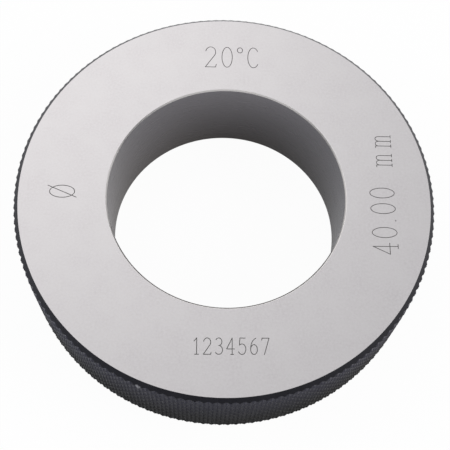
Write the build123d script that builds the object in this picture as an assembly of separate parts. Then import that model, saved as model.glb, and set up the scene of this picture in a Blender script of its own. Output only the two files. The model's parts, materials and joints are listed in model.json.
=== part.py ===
from build123d import *
import math
import os

# A setting ring for bore gauges, turned from one piece of hardened steel, in millimetres.
# The origin is the middle of the lower face, and the bore runs up along +Z.

# The turned ring
BORE_DIAMETER = 40.0
RIM_DIAMETER = 71.0  # over the tips of the knurl
WIDTH = 18.0
BORE_CHAMFER = 0.25
RIM_CHAMFER = 0.9

# The diamond knurl rolled round the rim
KNURL_COUNT = 158  # diamonds round the rim in one row
KNURL_LEAN = 30.0  # degrees between a groove and the axis
KNURL_DEPTH = 0.3  # from a tip down to the bottom of a groove

# Two families of grooves cross at each corner of a diamond, and its tip stands in the middle.
# Corners and tips take turns on a lattice of upright columns and level rows.
TIP_RADIUS = RIM_DIAMETER / 2
DIAMOND_WIDTH = math.pi * RIM_DIAMETER / KNURL_COUNT
DIAMOND_ANGLE = 360.0 / KNURL_COUNT
COLUMN_ANGLE = DIAMOND_ANGLE / 2
ROW_HEIGHT = DIAMOND_WIDTH / 2 / math.tan(math.radians(KNURL_LEAN))
ROWS_ABOVE_MIDDLE = math.ceil(WIDTH / 2 / ROW_HEIGHT) + 1


def polygon(*corners):
    """A flat face between the corners given."""
    return Face(Wire.make_polygon(corners, close=True))


def section(*corners):
    """A flat face on the plane of X and Z, between corners given as (radius, height)."""
    return polygon(*[Vector(radius, 0, height) for radius, height in corners])


def lattice_point(column, row):
    """A point of the knurl: the corner of four diamonds, or the tip of one."""
    is_tip = (column + row) % 2 == 1
    radius = TIP_RADIUS if is_tip else TIP_RADIUS - KNURL_DEPTH
    turn = math.radians(column * COLUMN_ANGLE)
    height = WIDTH / 2 + row * ROW_HEIGHT
    return Vector(radius * math.cos(turn), radius * math.sin(turn), height)


def lattice_cell(column, row):
    """The two flanks in one cell of the lattice, which meet at the bottom of its groove."""
    low_left = lattice_point(column, row)
    low_right = lattice_point(column + 1, row)
    high_right = lattice_point(column + 1, row + 1)
    high_left = lattice_point(column, row + 1)
    groove_leans_right = (column + row) % 2 == 0
    if groove_leans_right:
        return [polygon(low_left, low_right, high_right), polygon(low_left, high_right, high_left)]
    return [polygon(low_left, low_right, high_left), polygon(low_right, high_right, high_left)]


def knurled_wedge():
    """A wedge from the axis out to the knurl, one diamond wide and taller than the ring."""
    rows = range(-ROWS_ABOVE_MIDDLE, ROWS_ABOVE_MIDDLE + 1)
    faces = []
    for column in (0, 1):
        for row in rows[:-1]:
            faces += lattice_cell(column, row)
    for column in (0, 2):
        edge = [lattice_point(column, row) for row in rows]
        faces.append(polygon(Vector(0, 0, edge[0].Z), *edge, Vector(0, 0, edge[-1].Z)))
    for row in (rows[0], rows[-1]):
        edge = [lattice_point(column, row) for column in (0, 1, 2)]
        faces.append(polygon(Vector(0, 0, edge[0].Z), *edge))
    return Solid(Shell(faces))


def chamfered_block():
    """The rim's two chamfers, each flat across one diamond and within 0.01 mm of a cone.

    They run on outwards past the knurl until they meet.
    """
    face_radius = TIP_RADIUS - RIM_CHAMFER
    half_section = section(
        (0, 0),
        (face_radius, 0),
        (face_radius + WIDTH / 2, WIDTH / 2),
        (face_radius, WIDTH),
        (0, WIDTH),
    )
    return Rot(Z=COLUMN_ANGLE) * extrude(half_section, DIAMOND_WIDTH, both=True)


def bore_tool():
    """What the bore takes away, with its chamfers running on past both faces of the ring."""
    bore = BORE_DIAMETER / 2
    mouth = bore + 2 * BORE_CHAMFER
    half_section = section(
        (0, -BORE_CHAMFER),
        (mouth, -BORE_CHAMFER),
        (bore, BORE_CHAMFER),
        (bore, WIDTH - BORE_CHAMFER),
        (mouth, WIDTH + BORE_CHAMFER),
        (0, WIDTH + BORE_CHAMFER),
    )
    return revolve(half_section, Axis.Z)


def setting_ring():
    """The ring over the width of one diamond, repeated round the axis and joined."""
    ring_slice = (knurled_wedge() & chamfered_block()) - bore_tool()
    sides_last = ring_slice.faces().sort_by(SortBy.AREA)
    outer_faces = sides_last[:-2]
    places = PolarLocations(0, KNURL_COUNT)
    skin = Shell([place * face for place in places for face in outer_faces])
    return Solid(skin).clean()


ring = setting_ring()
print(f"knurl: {KNURL_COUNT} diamonds round the rim, {DIAMOND_WIDTH:.3f} wide")
print(f"ring: {len(ring.faces())} faces, volume {ring.volume:.1f} mm3, valid {ring.is_valid}")

os.makedirs("parts", exist_ok=True)
export_step(ring, "parts/setting_ring.step", write_pcurves=False)
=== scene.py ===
# %% [markdown]
# # A setting ring for bore gauges
# This is a single piece of hardened steel: a flat ring with a fine bore, two ground faces,
# chamfered edges and a blackened rim with a diamond knurl for grip.
# The construction comes from the frame. Here the ring gets its finish: a knurl of small, crisp
# diamonds, engraved numbers, and a steel for each way its surface was worked.

# %% Load the frame
import itertools
import json
import math
import bmesh
import bpy
from mathutils import Matrix, Vector


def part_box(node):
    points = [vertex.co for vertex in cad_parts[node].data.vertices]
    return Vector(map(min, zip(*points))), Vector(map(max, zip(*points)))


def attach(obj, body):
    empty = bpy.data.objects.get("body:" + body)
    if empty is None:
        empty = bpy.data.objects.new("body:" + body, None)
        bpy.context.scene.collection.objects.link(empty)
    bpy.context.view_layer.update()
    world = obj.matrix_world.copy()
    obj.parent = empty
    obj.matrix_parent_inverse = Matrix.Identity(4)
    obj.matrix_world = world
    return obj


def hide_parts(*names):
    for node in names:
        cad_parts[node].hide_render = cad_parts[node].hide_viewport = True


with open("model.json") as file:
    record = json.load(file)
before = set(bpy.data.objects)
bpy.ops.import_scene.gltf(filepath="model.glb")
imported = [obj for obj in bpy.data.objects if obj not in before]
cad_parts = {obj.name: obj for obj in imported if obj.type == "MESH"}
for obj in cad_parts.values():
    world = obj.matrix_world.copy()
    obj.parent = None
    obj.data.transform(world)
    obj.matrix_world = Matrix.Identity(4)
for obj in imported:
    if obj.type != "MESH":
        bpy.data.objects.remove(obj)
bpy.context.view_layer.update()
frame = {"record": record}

MM = 0.001
MERGE_DISTANCE = 0.001 * MM

# %% [markdown]
# ## Sizes
# The rim and the width are read from the frame, and the bore from the record, so the looks stay
# on the construction. What the frame doesn't hold is named here once: the chamfers and the knurl.

# %% Sizes of the ring
low_corner, high_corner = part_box("setting_ring")
TIP_RADIUS = high_corner.x
WIDTH = high_corner.z - low_corner.z
bore_mount = next(m for m in frame["record"]["mounts"] if m["name"] == "bore")
BORE_RADIUS = bore_mount["dims"]["r_mm"] * MM
BORE_CHAMFER = (WIDTH - bore_mount["dims"]["length_mm"] * MM) / 2
RIM_CHAMFER = 0.9 * MM
KNURL_COUNT = 158
KNURL_LEAN = math.radians(30)
KNURL_DEPTH = 0.3 * MM
GROOVE_RADIUS = TIP_RADIUS - KNURL_DEPTH
print(f"bore {2 * BORE_RADIUS / MM:.2f}, rim {2 * TIP_RADIUS / MM:.2f}, width {WIDTH / MM:.2f} mm")

# %% [markdown]
# ## Small helpers for modelling by hand
# An operator works on whatever is selected, so each step first clears the selection and then
# picks vertices or faces by where they are. `only` selects one object, and `pick` selects inside
# a mesh that is open in edit mode.

# %% Helpers
def only(thing):
    """Select one object and nothing else, and make it the active one."""
    if bpy.context.object:
        bpy.ops.object.mode_set(mode="OBJECT")
    bpy.ops.object.select_all(action="DESELECT")
    thing.select_set(True)
    bpy.context.view_layer.objects.active = thing


def pick(kind, test):
    """In edit mode, select the verts whose place passes the test, or the faces whose middle
    and normal pass it."""
    mesh = bmesh.from_edit_mesh(bpy.context.object.data)
    bpy.ops.mesh.select_all(action="DESELECT")
    for part in getattr(mesh, kind):
        if kind == "verts":
            chosen = test(part.co)
        else:
            chosen = test(part.calc_center_median(), part.normal)
        if chosen:
            part.select = True
    mesh.select_flush_mode()
    bmesh.update_edit_mesh(bpy.context.object.data)


def finish_modifier(thing, modifier):
    """Apply a modifier that was just set up."""
    only(thing)
    bpy.ops.object.modifier_apply(modifier=modifier.name)


def report(thing):
    """Print what a piece has become."""
    print(f"{thing.name}: {len(thing.data.vertices)} vertices, {len(thing.data.polygons)} faces")


bpy.ops.object.select_all(action="DESELECT")

# %% [markdown]
# ## The turned blank
# On a lathe the ring starts as a section swept round an axis. The same is done here: a plane is
# stood up as the section of the wall, its four corners are bevelled into the chamfers, and the
# outline is spun round the Z axis. The outer side is left a little too far out, because the knurl
# will trim it, so the outer chamfers run on to meet it.

# %% The section of the wall
TRIM = 1.0 * MM  # how far the blank reaches past the tips of the knurl
outer = TIP_RADIUS + TRIM
bpy.ops.mesh.primitive_plane_add(size=1, location=((BORE_RADIUS + outer) / 2, 0, WIDTH / 2))
ring = bpy.context.object
ring.name = "knurled_ring"
ring.rotation_euler.x = math.pi / 2
ring.scale = (outer - BORE_RADIUS, WIDTH, 1)
bpy.ops.object.transform_apply(location=True, rotation=True, scale=True)

bpy.ops.object.mode_set(mode="EDIT")
pick("verts", lambda at: at.x > TIP_RADIUS)
bpy.ops.mesh.bevel(offset=RIM_CHAMFER + TRIM, segments=1, affect="VERTICES")
pick("verts", lambda at: at.x < BORE_RADIUS + BORE_CHAMFER / 2)
bpy.ops.mesh.bevel(offset=BORE_CHAMFER, segments=1, affect="VERTICES")
report(ring)

# %% Spin it round the axis
EDGE_BREAK = 0.03 * MM  # how much each edge is rounded
SPIN_STEPS = 4 * KNURL_COUNT
bpy.ops.mesh.select_all(action="SELECT")
bpy.ops.mesh.bevel(offset=EDGE_BREAK, segments=2, affect="VERTICES")
bpy.ops.mesh.select_all(action="SELECT")
bpy.ops.mesh.delete(type="ONLY_FACE")
bpy.ops.mesh.select_all(action="SELECT")
bpy.ops.mesh.spin(steps=SPIN_STEPS, angle=2 * math.pi, center=(0, 0, 0), axis=(0, 0, 1))
bpy.ops.mesh.select_all(action="SELECT")
bpy.ops.mesh.remove_doubles(threshold=MERGE_DISTANCE)
bpy.ops.mesh.normals_make_consistent(inside=False)
bpy.ops.object.mode_set(mode="OBJECT")
report(ring)

# %% [markdown]
# ## Finishes, first as empty slots
# Each way the steel was worked gets its own slot. The slots are made now, because the cuts that
# follow carry them along, and their nodes are built further down.

# %% Slots
FINISHES = (
    "ground_steel",
    "lapped_steel",
    "bright_chamfer",
    "black_oxide_chamfer",
    "black_oxide_knurl",
    "engraving",
)
finish = {name: bpy.data.materials.new(name) for name in FINISHES}
print("finishes:", ", ".join(FINISHES))


def give_slots(thing, first):
    """Every finish as a slot, in one order, with all faces on the first one named."""
    for name in FINISHES:
        thing.data.materials.append(finish[name])
    for face in thing.data.polygons:
        face.material_index = FINISHES.index(first)


give_slots(ring, "ground_steel")
for face in ring.data.polygons:
    middle = face.center
    radius = math.hypot(middle.x, middle.y)
    if radius < BORE_RADIUS + EDGE_BREAK:
        face.material_index = FINISHES.index("lapped_steel")
    elif radius < BORE_RADIUS + BORE_CHAMFER + EDGE_BREAK:
        face.material_index = FINISHES.index("bright_chamfer")
    elif radius > TIP_RADIUS - RIM_CHAMFER:
        face.material_index = FINISHES.index("black_oxide_chamfer")

# %% [markdown]
# ## One diamond of the knurl
# A knurling wheel rolls two families of slanted grooves into the rim, and what is left standing
# between them is a field of small diamonds. One is modelled: a circle of four corners makes the
# diamond, and it is extruded in three steps: a narrow foot at the groove, a straight flank that
# rises nearly to the full height, and a tip that is blunted only a little.

# %% Model one diamond
DIAMOND_WIDTH = 2 * math.pi * GROOVE_RADIUS / KNURL_COUNT
DIAMOND_HEIGHT = 2 * math.pi * TIP_RADIUS / KNURL_COUNT / math.tan(KNURL_LEAN)
FLANK = ((0.92, 0.05), (0.14, 0.93), (0.05, 1.0))  # (how wide, how high) after each step

bpy.ops.object.select_all(action="DESELECT")
bpy.ops.mesh.primitive_circle_add(vertices=4, radius=0.5, fill_type="NGON")
knurl = bpy.context.object
knurl.name = "knurl"
knurl.scale = (DIAMOND_WIDTH, DIAMOND_HEIGHT, 1)
bpy.ops.object.transform_apply(location=False, rotation=False, scale=True)
knurl.rotation_euler.x = math.pi / 2
bpy.ops.object.transform_apply(location=False, rotation=True, scale=False)

NEARLY = 0.01 * KNURL_DEPTH  # how far off a step a face may be and still count as on it
bpy.ops.object.mode_set(mode="EDIT")
width, height = 1.0, 0.0
for next_width, next_height in FLANK:
    pick("faces", lambda at, normal: at.y < NEARLY - height * KNURL_DEPTH and normal.y < -0.9)
    rise = (0, (height - next_height) * KNURL_DEPTH, 0)
    bpy.ops.mesh.extrude_region_move(TRANSFORM_OT_translate={"value": rise})
    bpy.ops.transform.resize(value=(next_width / width, 1, next_width / width))
    width, height = next_width, next_height
pick("faces", lambda at, normal: abs(at.y) < NEARLY)
bpy.ops.mesh.delete(type="FACE")
bpy.ops.object.mode_set(mode="OBJECT")
report(knurl)

# %% [markdown]
# ## From one diamond to the whole rim
# Three array modifiers copy the diamond: once to its slanted neighbour, then up the rim, then
# along it. That makes a flat strip as long as the rim. A Simple Deform modifier bends the strip
# through a full turn, so its two ends meet and are merged. The slanted neighbours reach half a
# diamond past the end of the strip, so the bend has to go half a diamond past the full turn.

# %% Copy the diamond into a strip
ROWS = 2 * math.ceil(WIDTH / 2 / DIAMOND_HEIGHT) + 3  # one row in the middle, and some to cut off
knurl.data.transform(Matrix.Translation((DIAMOND_WIDTH / 2, 0, WIDTH / 2)))
knurl.data.transform(Matrix.Translation((0, 0, -DIAMOND_HEIGHT * (ROWS // 2))))
ARRAYS = (
    ("neighbour", 2, (DIAMOND_WIDTH / 2, 0, DIAMOND_HEIGHT / 2)),
    ("up_the_rim", ROWS, (0, 0, DIAMOND_HEIGHT)),
    ("along_the_rim", KNURL_COUNT, (DIAMOND_WIDTH, 0, 0)),
)
for name, count, offset in ARRAYS:
    array = knurl.modifiers.new(name, "ARRAY")
    array.count = count
    array.use_relative_offset = False
    array.use_constant_offset = True
    array.constant_offset_displace = offset
    finish_modifier(knurl, array)
report(knurl)

# %% Bend the strip round and close its seam
SEAM_DISTANCE = 0.005 * MM
bend = knurl.modifiers.new("bend", "SIMPLE_DEFORM")
bend.deform_method = "BEND"
bend.deform_axis = "Z"
bend.angle = 2 * math.pi * (KNURL_COUNT + 0.5) / KNURL_COUNT
finish_modifier(knurl, bend)
knurl.data.transform(Matrix.Translation((0, -GROOVE_RADIUS, 0)))
knurl.data.transform(Matrix.Rotation(math.pi / 2, 4, "Z"))

bpy.ops.object.mode_set(mode="EDIT")
bpy.ops.mesh.select_all(action="SELECT")
bpy.ops.mesh.remove_doubles(threshold=SEAM_DISTANCE)
for height, outwards in ((-TRIM, -1), (WIDTH + TRIM, 1)):
    bpy.ops.mesh.select_all(action="SELECT")
    bpy.ops.mesh.bisect(
        plane_co=(0, 0, height), plane_no=(0, 0, outwards), clear_outer=True, use_fill=True
    )
bpy.ops.mesh.select_all(action="SELECT")
bpy.ops.mesh.normals_make_consistent(inside=False)
bpy.ops.object.mode_set(mode="OBJECT")
give_slots(knurl, "black_oxide_knurl")
report(knurl)

# %% [markdown]
# ## Numbers drawn as strokes
# A marking machine draws its numbers with one thin line, so a text object's thick letters would
# look wrong. Each sign is a few strokes instead, in a cell one unit high, and a stroke is a list
# of points. `arc` gives the round ones. A stroke ends at each sharp corner, and none crosses
# itself, because the cut further down needs that.

# %% The signs
def arc(x, y, across, up, start, end):
    """Points on part of an oval about (x, y), from one angle in degrees to the other."""
    count = max(3, round(abs(end - start) / 12))
    turns = [math.radians(start + (end - start) * i / count) for i in range(count + 1)]
    return [(x + across * math.cos(t), y + up * math.sin(t)) for t in turns]


SIGNS = {
    "0": [arc(0.22, 0.5, 0.22, 0.5, 90, 450)],
    "1": [[(0.24, 0.0), (0.24, 1.0)], [(0.08, 0.8), (0.24, 1.0)], [(0.12, 0.0), (0.36, 0.0)]],
    "2": [
        arc(0.22, 0.74, 0.21, 0.26, 170, -35) + [(0.0, 0.0)],
        [(0.0, 0.0), (0.43, 0.0)],
        [(0.43, 0.0), (0.46, 0.13)],
    ],
    "3": [arc(0.2, 0.77, 0.19, 0.23, 150, -90), arc(0.2, 0.27, 0.23, 0.27, 90, -150)],
    "4": [
        [(0.33, 0.0), (0.33, 1.0)],
        [(0.33, 1.0), (0.0, 0.33)],
        [(0.0, 0.33), (0.47, 0.33)],
        [(0.24, 0.0), (0.42, 0.0)],
    ],
    "5": [
        [(0.39, 1.0), (0.08, 1.0)],
        [(0.08, 1.0), (0.05, 0.56)],
        arc(0.2, 0.32, 0.23, 0.32, 130, -150),
    ],
    "6": [arc(0.4, 0.33, 0.38, 0.67, 100, 180), arc(0.22, 0.3, 0.2, 0.3, 0, 360)],
    "7": [[(0.0, 0.87), (0.02, 1.0)], [(0.02, 1.0), (0.44, 1.0)], [(0.44, 1.0), (0.16, 0.0)]],
    ".": [[(0.0, 0.02), (0.05, 0.02)]],
    "m": [
        [(0.0, 0.64), (0.08, 0.64)],
        [(0.08, 0.64), (0.08, 0.0)],
        arc(0.19, 0.5, 0.11, 0.14, 180, 0) + [(0.3, 0.0)],
        arc(0.415, 0.5, 0.105, 0.14, 180, 0) + [(0.52, 0.0)],
        [(0.02, 0.0), (0.14, 0.0)],
        [(0.24, 0.0), (0.36, 0.0)],
        [(0.46, 0.0), (0.58, 0.0)],
    ],
    "C": [arc(0.25, 0.5, 0.24, 0.5, 40, 320)],
    "degree": [arc(0.12, 0.86, 0.11, 0.13, 0, 360)],
    "diameter": [arc(0.26, 0.5, 0.23, 0.43, 90, 450), [(0.04, 0.0), (0.48, 1.0)]],
    "space": [],
}
SIGN_STEP = 0.69  # from one sign to the next, for signs one unit high
OTHER_STEPS = {".": 0.35, "m": 0.88, "degree": 0.4}


def placed_signs(signs, height, middle, turn):
    """The strokes of each sign in a line that is turned, with its middle at (x, y)."""
    steps = [OTHER_STEPS.get(sign, SIGN_STEP) for sign in signs]
    spin = Matrix.Rotation(turn, 2)
    left = -sum(steps) / 2
    placed = []
    for sign, step in zip(signs, steps):
        width = max((x for stroke in SIGNS[sign] for x, y in stroke), default=0)
        corner = Vector((left + (step - width) / 2, -0.5))
        strokes = []
        for stroke in SIGNS[sign]:
            strokes.append([Vector(middle) + spin @ (corner + Vector(at)) * height for at in stroke])
        placed.append(strokes)
        left += step
    return placed


# Each marking has its signs, the height of a sign, the middle of the line, and its turn.
MARKINGS = (
    (("4", "0", ".", "0", "0", "space", "m", "m"), 4.2 * MM, (26.35 * MM, 0.6 * MM), math.pi / 2),
    (("diameter",), 4.8 * MM, (-27.4 * MM, -0.1 * MM), math.pi / 2),
    (tuple("1234567"), 2.65 * MM, (0.6 * MM, -26.4 * MM), 0),
    (("2", "0", "degree", "C"), 4.2 * MM, (0.8 * MM, 26.9 * MM), 0),
)
signs = [sign for marking in MARKINGS for sign in placed_signs(*marking)]
print(f"signs: {len(signs)}, with {sum(len(sign) for sign in signs)} strokes")

# %% [markdown]
# ## Engraving
# A curve with a bevel depth and no resolution is a tube with a square section standing on its
# corner, so sunk into the face by half a line's width it cuts a V groove. The boolean's fast
# solver needs a tool that doesn't run through itself, and the strokes of a sign do cross. So the
# first strokes of all signs make one tool, the second strokes the next one, and so on.

# %% Tools for the engraving
LINE_WIDTH = 0.13 * MM
CAP_LENGTH = LINE_WIDTH / 3  # how far a line runs on past the end of its stroke


def engraving_tool(strokes):
    """A mesh that cuts these strokes into the upper face. None of them meets another."""
    curve = bpy.data.curves.new("engraving_tool", "CURVE")
    curve.dimensions = "3D"
    curve.twist_mode = "Z_UP"
    curve.fill_mode = "FULL"
    curve.bevel_depth = LINE_WIDTH
    curve.bevel_resolution = 0
    curve.use_fill_caps = True
    for stroke in strokes:
        closed = (stroke[0] - stroke[-1]).length < MERGE_DISTANCE
        if closed:
            points = stroke[:-1]
        else:
            before = (stroke[0] - stroke[1]).normalized() * CAP_LENGTH
            after = (stroke[-1] - stroke[-2]).normalized() * CAP_LENGTH
            points = [stroke[0] + before, *stroke[1:-1], stroke[-1] + after]
        spline = curve.splines.new("POLY")
        spline.use_cyclic_u = closed
        spline.points.add(len(points) - 1)
        for point, at in zip(spline.points, points):
            point.co = (*at, WIDTH + LINE_WIDTH / 2, 1)
    tool = bpy.data.objects.new("engraving_tool", curve)
    bpy.context.collection.objects.link(tool)
    only(tool)
    bpy.ops.object.convert(target="MESH")
    bpy.ops.object.mode_set(mode="EDIT")
    bpy.ops.mesh.select_all(action="SELECT")
    bpy.ops.mesh.remove_doubles(threshold=MERGE_DISTANCE / 10)
    bpy.ops.object.mode_set(mode="OBJECT")
    give_slots(tool, "engraving")
    return tool


layers = [[stroke for stroke in layer if stroke] for layer in itertools.zip_longest(*signs)]
tools = [engraving_tool(layer) for layer in layers]
for tool in tools:
    report(tool)

# %% [markdown]
# ## Cut the ring
# The engraving is taken away from the blank, and then only what lies inside the knurled bar is
# kept. The chamfers run across the knurl there, which leaves the scalloped edge that a knurled
# rim has where it was chamfered.

# %% Cut the blank
for operation, cutter in [("DIFFERENCE", tool) for tool in tools] + [("INTERSECT", knurl)]:
    cut = ring.modifiers.new(operation.lower(), "BOOLEAN")
    cut.operation = operation
    cut.solver = "MANIFOLD"
    cut.object = cutter
    finish_modifier(ring, cut)
    bpy.data.objects.remove(cutter)
report(ring)

# %% [markdown]
# ## Shading
# What is round is shaded smooth, and edges sharper than a limit stay crisp. The knurl's own edges
# are softened whatever their angle, so each diamond looks rolled and not cut, and only the border
# between the knurl and the chamfers stays sharp.

# %% Smooth what is round and keep what is flat
SHARPEST_SMOOTH_ANGLE = math.radians(12)
only(ring)
bpy.ops.object.shade_smooth_by_angle(angle=SHARPEST_SMOOTH_ANGLE)
bpy.ops.object.mode_set(mode="EDIT")
bpy.ops.mesh.select_all(action="DESELECT")
ring.active_material_index = FINISHES.index("black_oxide_knurl")
bpy.ops.object.material_slot_select()
bpy.ops.mesh.mark_sharp(clear=True)
bpy.ops.mesh.region_to_loop()
bpy.ops.mesh.mark_sharp()
bpy.ops.object.mode_set(mode="OBJECT")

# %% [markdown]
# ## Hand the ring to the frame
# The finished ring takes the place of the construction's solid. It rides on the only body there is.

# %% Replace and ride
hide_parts("setting_ring")
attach(ring, "root")
print(ring.name, "takes the place of setting_ring, and rides on root")

# %% [markdown]
# ## Materials
# Every finish is the same steel seen through what was done to it, so all patterns are worked out
# from Object coordinates in metres and keep their real size: a noise of scale 1000 has features
# about a millimetre wide. `Nodes` is a short way to write a node tree as a list of steps.

# %% Node helpers
class Nodes:
    """Adds nodes to one material. A node's inputs take a value or another node's output."""

    def __init__(self, name):
        self.name = name
        finish[name].use_nodes = True
        self.tree = finish[name].node_tree
        self.shader = self.tree.nodes["Principled BSDF"]
        self.place = self.add("ShaderNodeTexCoord").outputs["Object"]

    def add(self, kind, inputs=None, **settings):
        """A new node with its inputs and its other settings."""
        node = self.tree.nodes.new(kind)
        for name, value in settings.items():
            setattr(node, name, value)
        for name, value in (inputs or {}).items():
            self.give(node.inputs[name], value)
        return node

    def give(self, socket, value):
        """Link an output to a socket, or set the socket to a plain value."""
        if isinstance(value, bpy.types.NodeSocket):
            self.tree.links.new(value, socket)
        else:
            socket.default_value = value

    def noise(self, scale, detail=2, roughness=0.5, stretch=(1, 1, 1)):
        """A noise from 0 to 1. A stretch above 1 packs the pattern closer along that axis."""
        place = self.add("ShaderNodeMapping", {"Vector": self.place, "Scale": stretch})
        inputs = {"Vector": place.outputs[0], "Scale": scale, "Detail": detail}
        inputs["Roughness"] = roughness
        return self.add("ShaderNodeTexNoise", inputs).outputs["Fac"]

    def spread(self, value, low_in, high_in, low_out, high_out):
        """The value mapped from one range to another, and kept inside it."""
        inputs = {"Value": value, "From Min": low_in, "From Max": high_in}
        inputs.update({"To Min": low_out, "To Max": high_out})
        return self.add("ShaderNodeMapRange", inputs).outputs["Result"]

    def blend(self, share, first, second):
        """A colour between two colours."""
        mix = self.add("ShaderNodeMix", data_type="RGBA")
        self.give(mix.inputs[0], share)
        self.give(mix.inputs[6], first)
        self.give(mix.inputs[7], second)
        return mix.outputs[2]

    def height(self):
        """The height above the floor, in metres."""
        return self.add("ShaderNodeSeparateXYZ", {0: self.place}).outputs["Z"]

    def distance(self, spot):
        """The distance from one spot on the ring, in metres."""
        away = self.add("ShaderNodeVectorMath", {0: self.place, 1: spot}, operation="DISTANCE")
        return away.outputs["Value"]

    def bump(self, height, strength, distance):
        """Let a pattern stand out from the surface without changing its mesh."""
        inputs = {"Height": height, "Strength": strength, "Distance": distance}
        self.give(self.shader.inputs["Normal"], self.add("ShaderNodeBump", inputs).outputs[0])

    def set(self, **values):
        """Give the shader's sockets their values. An underscore stands for a space."""
        for name, value in values.items():
            self.give(self.shader.inputs[name.replace("_", " ")], value)
        print(f"{self.name}: {len(self.tree.nodes)} nodes")


# %% [markdown]
# ## The ground faces
# Grinding and lapping leave a flat grey face without a direction: faint cloudy patches some
# millimetres wide, and a very fine grain. Both are noises. The patches only change the colour,
# and the grain changes the colour and the roughness.

# %% Ground steel
ground = Nodes("ground_steel")
clouds = ground.spread(ground.noise(260, detail=3), 0.3, 0.7, 0.0, 1.0)
grain = ground.spread(ground.noise(2500, detail=2, roughness=0.7), 0.3, 0.7, 0.0, 1.0)
matt = ground.blend(clouds, (0.51, 0.49, 0.5, 1), (0.545, 0.53, 0.535, 1))
ground.set(
    Metallic=1.0,
    Base_Color=ground.blend(grain, matt, (0.58, 0.565, 0.575, 1)),
    Roughness=ground.spread(grain, 0.0, 1.0, 0.42, 0.48),
)

# %% [markdown]
# ## The lapped bore
# The bore is lapped round its axis, which leaves streaks that run round it. The noise is packed
# forty times closer along Z than across, so its patches become such streaks. The colour is painted
# dark, a painted reflection of dark surroundings, and deep in the bore it is darker than near its
# mouth as painted shade, so the colour also goes by the height.

# %% Lapped steel
lapped = Nodes("lapped_steel")
streaks = lapped.noise(120, detail=4, roughness=0.6, stretch=(1, 1, 40))
# Painted shade and reflection: both colours are dark, and the deep one is darker than the one near
# the mouth.
bore_painted_shade_by_height = lapped.spread(lapped.height(), 1.0 * MM, WIDTH, 0.0, 1.0)
lower = lapped.blend(streaks, (0.118, 0.109, 0.106, 1), (0.157, 0.147, 0.142, 1))
upper = lapped.blend(streaks, (0.29, 0.28, 0.30, 1), (0.34, 0.33, 0.35, 1))
lapped.set(
    Metallic=1.0,
    Base_Color=lapped.blend(bore_painted_shade_by_height, lower, upper),
    Roughness=lapped.spread(streaks, 0.3, 0.7, 0.2, 0.3),
)
lapped.bump(streaks, 0.08, 0.01 * MM)

# %% [markdown]
# ## The bright chamfer
# The small chamfer at the bore is cut last and gets no coating, so it is the brightest steel of
# all. Its turning marks run round it, made like the streaks of the bore.

# %% Bright chamfer
edge = Nodes("bright_chamfer")
turned = edge.noise(500, detail=3, stretch=(1, 1, 8))
edge.set(
    Metallic=1.0,
    Base_Color=edge.blend(turned, (0.68, 0.655, 0.64, 1), (0.76, 0.74, 0.73, 1)),
    Roughness=edge.spread(turned, 0.3, 0.7, 0.25, 0.35),
)

# %% [markdown]
# ## The blackened rim
# The knurl keeps the black oxide of hardening. Its colour goes from black near the floor to dark
# grey near the upper face: painted shade low on the rim and painted light high on it. One small
# spot at the front is a light grey. Its place is a point in the ring's own coordinates, and the
# grey shows within about half a millimetre of it.

# %% Black oxide on the knurl
# A small light grey spot on the knurl, about this point.
PALE_SPOT = (-13.79 * MM, -32.49 * MM, 16.7 * MM)
PALE_SPOT_INSIDE = 0.35 * MM
PALE_SPOT_OUTSIDE = 0.6 * MM
# Painted shade and light: between these two heights the colour turns from black to dark grey.
PAINTED_LIGHT_FROM = 5.0 * MM
PAINTED_LIGHT_ABOVE = 16.5 * MM
knurl_finish = Nodes("black_oxide_knurl")
patches = knurl_finish.noise(300, detail=3)
black = knurl_finish.blend(patches, (0.0005, 0.0005, 0.0006, 1), (0.0015, 0.0015, 0.002, 1))
# The dark grey is painted light, high on the rim.
painted_light_grey = knurl_finish.blend(patches, (0.019, 0.019, 0.031, 1), (0.028, 0.028, 0.043, 1))
painted_light_by_height = knurl_finish.spread(knurl_finish.height(), PAINTED_LIGHT_FROM, PAINTED_LIGHT_ABOVE, 0.0, 1.0)
oxide_and_painted_shade = knurl_finish.blend(painted_light_by_height, black, painted_light_grey)
pale_spot_share = knurl_finish.spread(knurl_finish.distance(PALE_SPOT), PALE_SPOT_INSIDE, PALE_SPOT_OUTSIDE, 1.0, 0.0)
knurl_finish.set(
    Metallic=0.0,
    Base_Color=knurl_finish.blend(pale_spot_share, oxide_and_painted_shade, (0.2, 0.2, 0.21, 1)),
    Roughness=knurl_finish.spread(patches, 0.3, 0.7, 0.24, 0.32),
    Specular_IOR_Level=0.03,
)

# %% [markdown]
# ## The rim's chamfers
# They were blackened with the knurl but are turned smooth, so they have more gloss, which brings
# out their edge where they catch the light at the sides.

# %% Black oxide on the chamfers
chamfer = Nodes("black_oxide_chamfer")
turning = chamfer.noise(300, detail=3)
chamfer.set(
    Metallic=0.0,
    Base_Color=chamfer.blend(turning, (0.007, 0.0072, 0.0105, 1), (0.012, 0.012, 0.0165, 1)),
    Roughness=chamfer.spread(turning, 0.3, 0.7, 0.25, 0.32),
    Specular_IOR_Level=0.3,
)

# %% [markdown]
# ## The engraved lines
# Inside the lines the steel is rough and a little darker than the face, partly its own etched
# tone and partly painted shade in the grooves, with a speckle much finer than a line is wide.

# %% Engraved lines
marks = Nodes("engraving")
speckle = marks.noise(4000, detail=2)
marks.set(
    Metallic=0.4,
    # Painted shade in part: the lines' colour is darker than the face.
    Base_Color=marks.blend(speckle, (0.12, 0.118, 0.115, 1), (0.19, 0.185, 0.18, 1)),
    Roughness=marks.spread(speckle, 0.3, 0.7, 0.5, 0.7),
)

# %% [markdown]
# ## Floor and background
# The ring stands on a plain white floor. Where the camera sees the floor or the world directly, a
# Light Path node makes them white, while the light that they throw on the ring stays at a plain
# level. In reflections they are made white only in part, which keeps the steel grey. The floor
# keeps a share of its real shading, which holds the ring's soft shadow.

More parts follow.
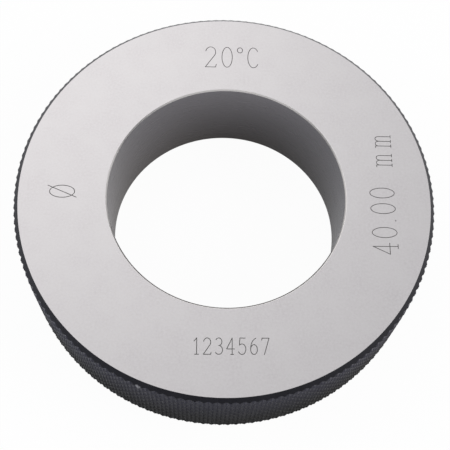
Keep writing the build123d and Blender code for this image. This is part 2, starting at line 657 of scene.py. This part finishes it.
# %% What is seen as background
def seen_as_background(tree, directly, reflected):
    """A share that is given for rays from the camera, and for rays off metal or through glass."""
    path = tree.nodes.new("ShaderNodeLightPath").outputs
    shares = {
        "Is Camera Ray": directly,
        "Is Glossy Ray": reflected,
        "Is Transmission Ray": reflected,
    }
    total = None
    for name, share in shares.items():
        part = tree.nodes.new("ShaderNodeMath")
        part.operation = "MULTIPLY_ADD"
        part.use_clamp = True
        tree.links.new(path[name], part.inputs[0])
        part.inputs[1].default_value = share
        part.inputs[2].default_value = 0.0
        if total:
            tree.links.new(total, part.inputs[2])
        total = part.outputs[0]
    return total


# %% Floor
FLOOR_SIZE = 4.0
FLOOR_GAP = 0.02 * MM  # keeps the floor out of the ring's lower face
bpy.ops.object.select_all(action="DESELECT")
bpy.ops.mesh.primitive_plane_add(size=FLOOR_SIZE, location=(0, 0, -FLOOR_GAP))
floor = bpy.context.object
floor.name = "floor"
floor_paint = bpy.data.materials.new("white_floor")
floor_paint.use_nodes = True
tree = floor_paint.node_tree
paper = tree.nodes["Principled BSDF"]
paper.inputs["Base Color"].default_value = (0.85, 0.85, 0.85, 1)
paper.inputs["Roughness"].default_value = 0.9
paper.inputs["Specular IOR Level"].default_value = 0.0
glow = tree.nodes.new("ShaderNodeEmission")
mix = tree.nodes.new("ShaderNodeMixShader")
tree.links.new(seen_as_background(tree, 0.96, 0.1), mix.inputs[0])
tree.links.new(paper.outputs[0], mix.inputs[1])
tree.links.new(glow.outputs[0], mix.inputs[2])
tree.links.new(mix.outputs[0], tree.nodes["Material Output"].inputs[0])
floor.data.materials.append(floor_paint)
print(f"floor {FLOOR_SIZE} m across")

# %% World
world = bpy.data.worlds.new("studio")
bpy.context.scene.world = world
world.use_nodes = True
tree = world.node_tree
plain = tree.nodes["Background"]
plain.inputs["Color"].default_value = (0.5, 0.505, 0.53, 1)
white = tree.nodes.new("ShaderNodeBackground")
white.inputs["Color"].default_value = (1, 1, 1, 1)
mix = tree.nodes.new("ShaderNodeMixShader")
tree.links.new(seen_as_background(tree, 1.0, 0.6), mix.inputs[0])
tree.links.new(plain.outputs[0], mix.inputs[1])
tree.links.new(white.outputs[0], mix.inputs[2])
tree.links.new(mix.outputs[0], tree.nodes["World Output"].inputs[0])
print("world:", world.name)

# %% [markdown]
# ## A dark wall
# Whoever photographs polished steel puts something dark where the camera stands, or the steel would
# mirror nothing but white. Here it is half a cylinder of black cloth on the camera's side, only as
# high as it has to be. Only reflections show it: the camera sees past it, and it takes no light
# away. It darkens the bore's chamfer at the back and the rim's chamfer at the front, and leaves
# both bright at the sides.

# %% A dark wall in front
WALL_DISTANCE = 0.9
WALL_BOTTOM = 0.16
WALL_TOP = 0.42
WALL_PANELS = 96
bpy.ops.object.select_all(action="DESELECT")
bpy.ops.mesh.primitive_cylinder_add(
    vertices=WALL_PANELS,
    radius=WALL_DISTANCE,
    depth=WALL_TOP - WALL_BOTTOM,
    end_fill_type="NOTHING",
    location=(0, 0, (WALL_TOP + WALL_BOTTOM) / 2),
)
wall = bpy.context.object
wall.name = "dark_wall"
bpy.ops.object.mode_set(mode="EDIT")
pick("faces", lambda at, normal: at.y > 0)
bpy.ops.mesh.delete(type="FACE")
bpy.ops.object.mode_set(mode="OBJECT")
dark = bpy.data.materials.new("dark_cloth")
dark.use_nodes = True
cloth = dark.node_tree.nodes["Principled BSDF"]
cloth.inputs["Base Color"].default_value = (0.01, 0.01, 0.01, 1)
cloth.inputs["Specular IOR Level"].default_value = 0.0
wall.data.materials.append(dark)
wall.visible_camera = False
wall.visible_diffuse = False
wall.visible_shadow = False
print("dark wall of", len(wall.data.polygons), "faces, seen only in reflections")

# %% [markdown]
# ## The lamps
# A large lamp behind the ring gives the face its soft fall from bright to grey. Two weak lamps at
# the sides reach the rim, and the right one also shines into the bore. These two are kept out of
# reflections, because on the narrow chamfer of the bore they would draw white arcs.

# %% Lamps
def soft_box(name, place, size, power, colour):
    """A square lamp at a place, turned to face the middle of the ring."""
    bpy.ops.object.light_add(type="AREA", location=place)
    lamp = bpy.context.object
    lamp.name = name
    lamp.data.size = size
    lamp.data.energy = power
    lamp.data.color = colour
    aim = Vector((0, 0, WIDTH / 2)) - Vector(place)
    lamp.rotation_euler = aim.to_track_quat("-Z", "Y").to_euler()


soft_box("key_lamp", (-0.22, 0.52, 0.63), 0.75, 1.8, (1.0, 0.985, 0.96))
soft_box("right_lamp", (0.57, -0.12, 0.42), 0.4, 2.6, (1.0, 0.95, 0.93))
soft_box("left_lamp", (-0.67, 0.0, 0.29), 0.4, 2.0, (0.88, 0.92, 1.0))
for name in ("right_lamp", "left_lamp"):
    bpy.data.objects[name].visible_glossy = False

# %% [markdown]
# ## The camera
# The camera was placed by fitting the ring's edges in the photograph: how far away it is and how
# steeply it looks down, how long its lens is, how it was rolled, and how the picture was cropped,
# which the lens shift gives back.

# %% Camera
IMAGE_SIDE = 450
FOCAL_PIXELS = 952.1
CENTRE_PIXELS = (263.79, 218.64)
AZIMUTH = math.radians(-9.5)
ELEVATION = math.radians(66.436)
ROLL = math.radians(9.496)
DISTANCE = 158.62 * MM
AIM = Vector((6.207 * MM, -4.588 * MM, WIDTH))

lens = bpy.data.cameras.new("camera")
camera = bpy.data.objects.new("camera", lens)
bpy.context.collection.objects.link(camera)
turn = (
    Matrix.Rotation(AZIMUTH, 4, "Z")
    @ Matrix.Rotation(math.pi / 2 - ELEVATION, 4, "X")
    @ Matrix.Rotation(ROLL, 4, "Z")
)
back = turn.to_3x3() @ Vector((0, 0, 1))
camera.matrix_world = Matrix.Translation(AIM + back * DISTANCE) @ turn
lens.sensor_width = 36
lens.lens = FOCAL_PIXELS * lens.sensor_width / IMAGE_SIDE
MIDDLE_PIXEL = (IMAGE_SIDE - 1) / 2
lens.shift_x = (MIDDLE_PIXEL - CENTRE_PIXELS[0]) / IMAGE_SIDE
lens.shift_y = (CENTRE_PIXELS[1] - MIDDLE_PIXEL) / IMAGE_SIDE
lens.clip_start = 1 * MM
bpy.context.scene.camera = camera
bpy.context.scene.view_settings.view_transform = "Standard"
print(f"lens {lens.lens:.1f} mm, shift {lens.shift_x:.4f}, {lens.shift_y:.4f}")
